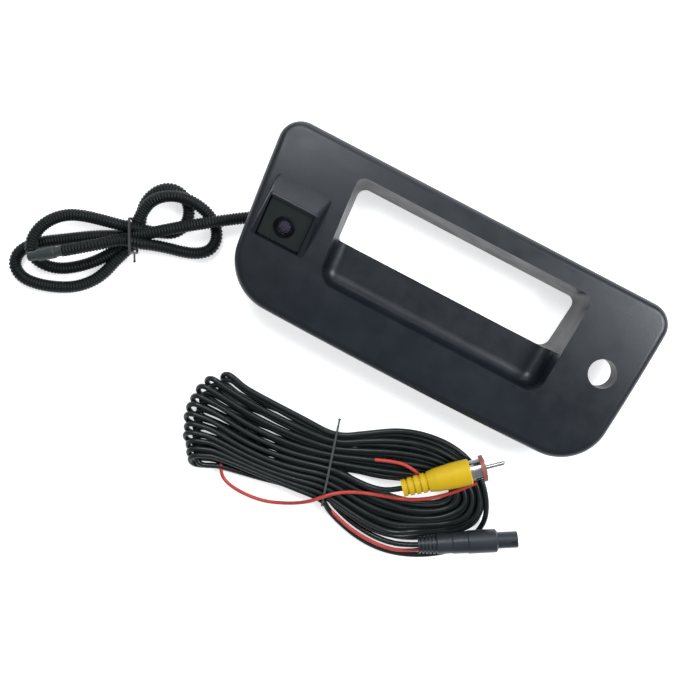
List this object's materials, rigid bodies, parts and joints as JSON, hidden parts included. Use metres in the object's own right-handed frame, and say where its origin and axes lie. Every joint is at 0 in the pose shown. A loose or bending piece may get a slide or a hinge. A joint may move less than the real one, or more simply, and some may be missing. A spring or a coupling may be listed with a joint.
{
  "type": "backup camera handle bezel",
  "caption": "Tailgate handle bezel with an angled camera in a pod, a key hole, a wire loom that ends in a small connector, and a tied hank of video cable with a phono plug.",
  "frame": {"origin": "under the middle of the bezel, on the surface that it lies on", "axes": "+X along the bezel towards the key hole, +Y towards the bezel's top edge, +Z out of its face"},
  "size_m": [0.4715, 0.2793, 0.0554],
  "materials": {
    "bezel_plastic": "fine satin grain",
    "camera_plastic": "satin",
    "lens_plastic": "semi gloss",
    "lens_glass": "polished and coated",
    "filter_glass": "polished",
    "sensor_chip": "gloss",
    "board_green": "solder mask",
    "chip_black": "matte",
    "socket_white": "matte",
    "seal_rubber": "matte",
    "screw_steel": "plated",
    "clip_steel": "spring steel, phosphated",
    "bracket_steel": "zinc plated",
    "lead_black": "satin",
    "strap_nylon": "satin",
    "loom_black": "satin, corrugated",
    "tie_dark": "satin",
    "tie_grey": "satin",
    "pigtail_grey": "matte",
    "contact_brass": "plated",
    "cable_black": "gloss",
    "trigger_red": "gloss",
    "phono_yellow": "satin",
    "plug_nickel": "nickel plated",
    "collar_red": "satin",
    "insulator_grey": "matte",
    "connector_charcoal": "matte",
    "insert_black": "matte"
  },
  "bodies": {
    "bezel": {"bezel_shell": "bezel_plastic", "spring_clips": "clip_steel", "camera_bracket": "bracket_steel", "bracket_screws": "screw_steel", "camera_lead": "lead_black", "loom_strap": "strap_nylon", "loom_run": "loom_black", "loom_bundle": "loom_black", "loom_tail": "loom_black", "loom_tie": "tie_dark", "pigtail_boot": "pigtail_grey", "pigtail_connector": "pigtail_grey", "pigtail_contacts": "contact_brass"},
    "camera": {"camera_front_housing": "camera_plastic", "camera_rear_housing": "camera_plastic", "housing_seal": "seal_rubber", "housing_screws": "screw_steel", "lens_trim_ring": "lens_plastic", "lens_barrel": "lens_plastic", "front_lens": "lens_glass", "second_lens": "lens_glass", "lens_spacer": "lens_plastic", "third_lens": "lens_glass", "lens_holder": "lens_plastic", "ir_filter": "filter_glass", "image_sensor": "sensor_chip", "sensor_board": "board_green", "board_components": "chip_black", "board_socket": "socket_white", "cable_gland": "seal_rubber", "pivot_screws": "screw_steel"},
    "extension_lead": {"cable_hank": "cable_black", "hank_tie": "tie_grey", "cable_to_connector": "cable_black", "cable_to_plug": "cable_black", "trigger_to_connector": "trigger_red", "trigger_loop": "trigger_red", "trigger_stray": "trigger_red", "phono_body": "phono_yellow", "phono_shell": "plug_nickel", "phono_collar": "collar_red", "phono_insulator": "insulator_grey", "phono_pin": "plug_nickel", "connector_relief": "connector_charcoal", "connector_body": "connector_charcoal", "connector_nose": "connector_charcoal", "connector_insert": "insert_black", "connector_pins": "contact_brass"}
  },
  "joints": [
    {"name": "camera_aim", "type": "hinge", "parent": "bezel", "child": "camera", "pos_m": [-0.1244, -0.00333, 0.04066], "axis": [1, 0, 0], "range_deg": [-5, 5]},
    {"name": "extension_lead_lift", "type": "slide", "parent": "bezel", "child": "extension_lead", "axis": [0, 0, 1], "range_m": [0, 0.1]}
  ]
}
